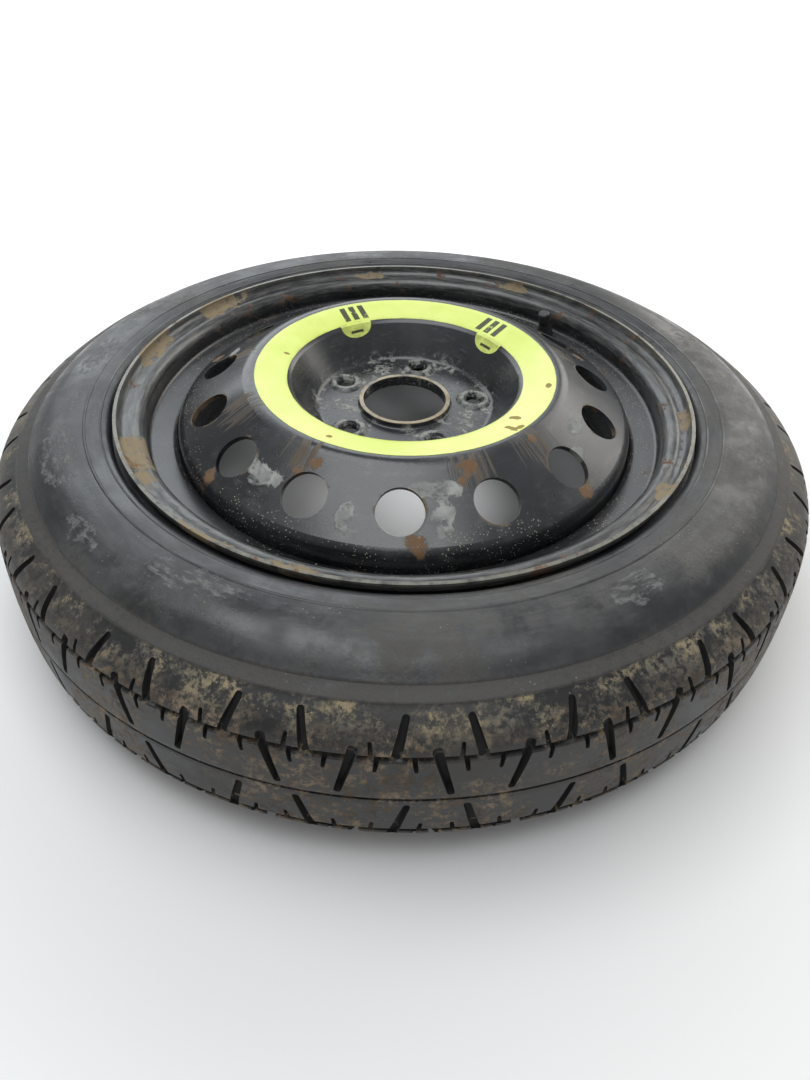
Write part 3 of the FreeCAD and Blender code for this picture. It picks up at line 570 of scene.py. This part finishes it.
FILM = 0.35 * MM
CUP_TOP = Vector((91.0, 33.0)) * MM
CREST = Vector((122.5, 41.2)) * MM
CUP_FALL = Vector((71.0 - 91.0, 4.0 - 33.0)).normalized()
LOBE_WIDTH = 29.0 * MM
LOBE_DROP = 11.5 * MM
LABEL_CREASE = math.radians(40)


def on_slope(radius, lift):
    """A point of the slope between cup and crest, lifted off the paint."""
    run = (CREST - CUP_TOP).normalized()
    foot = CUP_TOP + run * ((radius - CUP_TOP.x) / run.x)
    return foot + Vector((-run.y, run.x)) * lift


def label_band():
    """The ring of film on the slope, with its edges rounded off."""
    outline = [on_slope(radius * MM, lift * FILM) for radius, lift in (
        (93.0, 0.15), (93.0, 0.8), (93.3, 1.0), (99.0, 1.0), (105.0, 1.0), (111.0, 1.0), (117.3, 1.0),
        (117.6, 0.8), (117.6, 0.15), (105.0, 0.15), (93.0, 0.15))]
    return turned_shell("label_band", [(point.x, point.y) for point in outline])


def label_lobe(degrees):
    """A half-round tab of film that hangs from the band into the cup."""
    bpy.ops.object.select_all(action="DESELECT")
    bpy.ops.mesh.primitive_grid_add(x_subdivisions=28, y_subdivisions=14, size=2, location=(0, 0, 0))
    lobe = bpy.context.object
    start = on_slope(94.2 * MM, FILM)
    edge = CUP_TOP + Vector((-0.25, 1.0)) * FILM
    lap = (start - edge).length
    for vertex in lobe.data.vertices:
        share = (vertex.co.y + 1) / 2
        half = LOBE_WIDTH / 2 * math.sqrt(max(1 - (share * 0.992) ** 2.6, 0.0))
        drop = share * (LOBE_DROP + lap)
        if drop < lap:
            point = start + (edge - start) * (drop / lap)
        else:
            point = edge + CUP_FALL * (drop - lap) + Vector((CUP_FALL.y, -CUP_FALL.x)) * -FILM * 0.6
        turn = math.radians(degrees) + vertex.co.x * half / point.x
        vertex.co = (point.x * math.cos(turn), point.x * math.sin(turn), point.y)
    thick = lobe.modifiers.new("film", "SOLIDIFY")
    thick.thickness = FILM * 0.7
    thick.offset = 0
    bpy.ops.object.modifier_apply(modifier=thick.name)
    open_piece(lobe)
    bpy.ops.mesh.normals_make_consistent(inside=False)
    bpy.ops.object.mode_set(mode="OBJECT")
    return lobe


def make_label():
    """The lime ring with its two tabs."""
    label = label_band()
    lobes = [label_lobe(degrees) for degrees in LOBE_DEGREES]
    bpy.ops.object.select_all(action="DESELECT")
    for piece in (*lobes, label):
        piece.select_set(True)
    bpy.context.view_layer.objects.active = label
    bpy.ops.object.join()
    bpy.ops.object.shade_smooth_by_angle(angle=LABEL_CREASE)
    label.name = "label_film"
    label.data.materials.append(lime_film())
    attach(label, "wheel")
    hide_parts("speed_label")


# Pieces

def dress(node, material):
    """Give a CAD node a finished material."""
    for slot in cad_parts[node].material_slots:
        slot.material = material


def make_tyre():
    """The tyre with its fine steps and slots, in place of the plainer CAD tyre."""
    tyre = tyre_detail()
    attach(tyre, "wheel")
    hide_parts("tyre")


def dress_nodes():
    """Give the CAD nodes their materials."""
    brass = plain("dull_brass", (0.55, 0.40, 0.17), (0.30, 0.20, 0.08), 0.32, 300, 1.0)
    rubber = plain("valve_black_rubber", (0.030, 0.030, 0.031), (0.014, 0.014, 0.015), 0.55, 200)
    plastic = plain("cap_plastic", (0.040, 0.040, 0.042), (0.018, 0.018, 0.019), 0.38, 250)
    steel = plain("bright_spring_wire", (0.52, 0.52, 0.53), (0.36, 0.36, 0.37), 0.25, 400, 1.0)
    weld = plain("rusty_weld", (0.10, 0.055, 0.025), (0.030, 0.028, 0.026), 0.6, 90)
    looks = {
        "wheel_disc": disc_paint(), "rim": rim_paint(), "weld_beads": weld,
        "valve_rubber": rubber, "valve_core_seal": rubber, "valve_cup_seal": rubber,
        "valve_cap_seal": rubber,
        "valve_stem": brass, "valve_core_barrel": brass, "valve_pin": brass,
        "valve_spring": steel, "valve_cap": plastic,
    }
    for node, material in looks.items():
        dress(node, material)


def press_spring():
    """Give the spring of the valve's core a mesh of its own."""
    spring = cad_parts["valve_spring"]
    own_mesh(spring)


# Stage

FLOOR_SIZE = 12
SKY_STRENGTH = 0.34
BACKDROP_STRENGTH = 1.0


def make_floor():
    """A white sheet that keeps the wheel's shadow and is lighter far off, with a painted pool of light
    under the wheel's middle.
    """
    g = Graph("pale_floor")
    material = g.finish(g.mix(g.noise(3, 3), (0.82, 0.82, 0.82), (0.84, 0.84, 0.84)), 0.75, specular=0.2)
    path = g.tree.nodes.new("ShaderNodeLightPath")
    rays = ("Is Camera Ray", "Is Glossy Ray", "Is Transmission Ray")
    seen = g.most(*(path.outputs[ray] for ray in rays))
    g.shader.inputs["Emission Color"].default_value = (1, 1, 1, 1)
    backdrop_glow_and_painted_pool = g.times(g.ramp(g.radius, 0.30, 0.80), 0.40)
    backdrop_glow_and_painted_pool = g.math("ADD", backdrop_glow_and_painted_pool, g.times(g.ramp(g.radius, 1.0, 3.0), 0.50))
    # Painted pool of light on the floor under the wheel's middle, seen through the near vents
    backdrop_glow_and_painted_pool = g.math("ADD", backdrop_glow_and_painted_pool, g.times(g.ramp(g.radius, 0.12, 0.05), 0.20))
    g.put(g.shader.inputs["Emission Strength"], g.times(seen, backdrop_glow_and_painted_pool))
    bpy.ops.object.select_all(action="DESELECT")
    bpy.ops.mesh.primitive_plane_add(size=FLOOR_SIZE, location=(0, 0, FLOOR_Z))
    floor = bpy.context.object
    floor.name = "floor"
    floor.data.materials.append(material)


def area_light(name, place, target, size, watts, tint):
    """A panel of light turned towards target."""
    light = bpy.data.lights.new(name, "AREA")
    light.shape = "RECTANGLE"
    light.size, light.size_y = size
    light.energy = watts
    light.color = tint
    lamp = bpy.data.objects.new(name, light)
    lamp.location = place
    lamp.rotation_euler = (Vector(target) - Vector(place)).to_track_quat("-Z", "Y").to_euler()
    bpy.context.scene.collection.objects.link(lamp)


def make_light():
    """Overcast daylight: panels overhead, behind and at the far right, with a weak sky all round."""
    world = bpy.data.worlds.new("studio")
    world.use_nodes = True
    nodes, links = world.node_tree.nodes, world.node_tree.links
    sky = nodes["Background"]
    sky.inputs["Color"].default_value = (1, 1, 1, 1)
    path = nodes.new("ShaderNodeLightPath")
    level = nodes.new("ShaderNodeMapRange")
    links.new(path.outputs["Is Camera Ray"], level.inputs["Value"])
    level.inputs["To Min"].default_value = SKY_STRENGTH
    level.inputs["To Max"].default_value = BACKDROP_STRENGTH
    links.new(level.outputs["Result"], sky.inputs["Strength"])
    bpy.context.scene.world = world
    area_light("overhead_panel", (-0.25, -0.20, 1.75), (0, 0, 0), (1.8, 1.2), 26, (0.95, 0.98, 1.0))
    area_light("back_panel", (-0.65, 1.75, 0.95), (0, 0, 0), (2.1, 1.1), 19, (0.90, 0.96, 1.0))
    area_light("side_panel", (1.35, 1.25, 0.95), (0.1, 0, 0), (1.6, 1.0), 17, (1.0, 0.965, 0.90))


def make_camera():
    """The photograph's camera."""
    camera = bpy.data.cameras.new("camera")
    camera.sensor_width = SENSOR_MM
    camera.lens = FOCAL_PX * SENSOR_MM / IMAGE_HEIGHT_PX
    camera.shift_y = (AXIS_ROW_PX - IMAGE_HEIGHT_PX / 2) / IMAGE_HEIGHT_PX
    camera.clip_start = 0.01
    eye = bpy.data.objects.new("camera", camera)
    turn = (Matrix.Rotation(math.pi / 2 - CAMERA_PITCH, 4, "X")
            @ Matrix.Rotation(CAMERA_ROLL, 4, "Z"))
    eye.matrix_world = Matrix.Translation(CAMERA_PLACE) @ turn
    bpy.context.scene.collection.objects.link(eye)
    bpy.context.scene.camera = eye


make_camera()
make_light()
make_floor()
make_tyre()
make_label()
dress_nodes()
press_spring()
bpy.context.scene.view_settings.view_transform = "Standard"
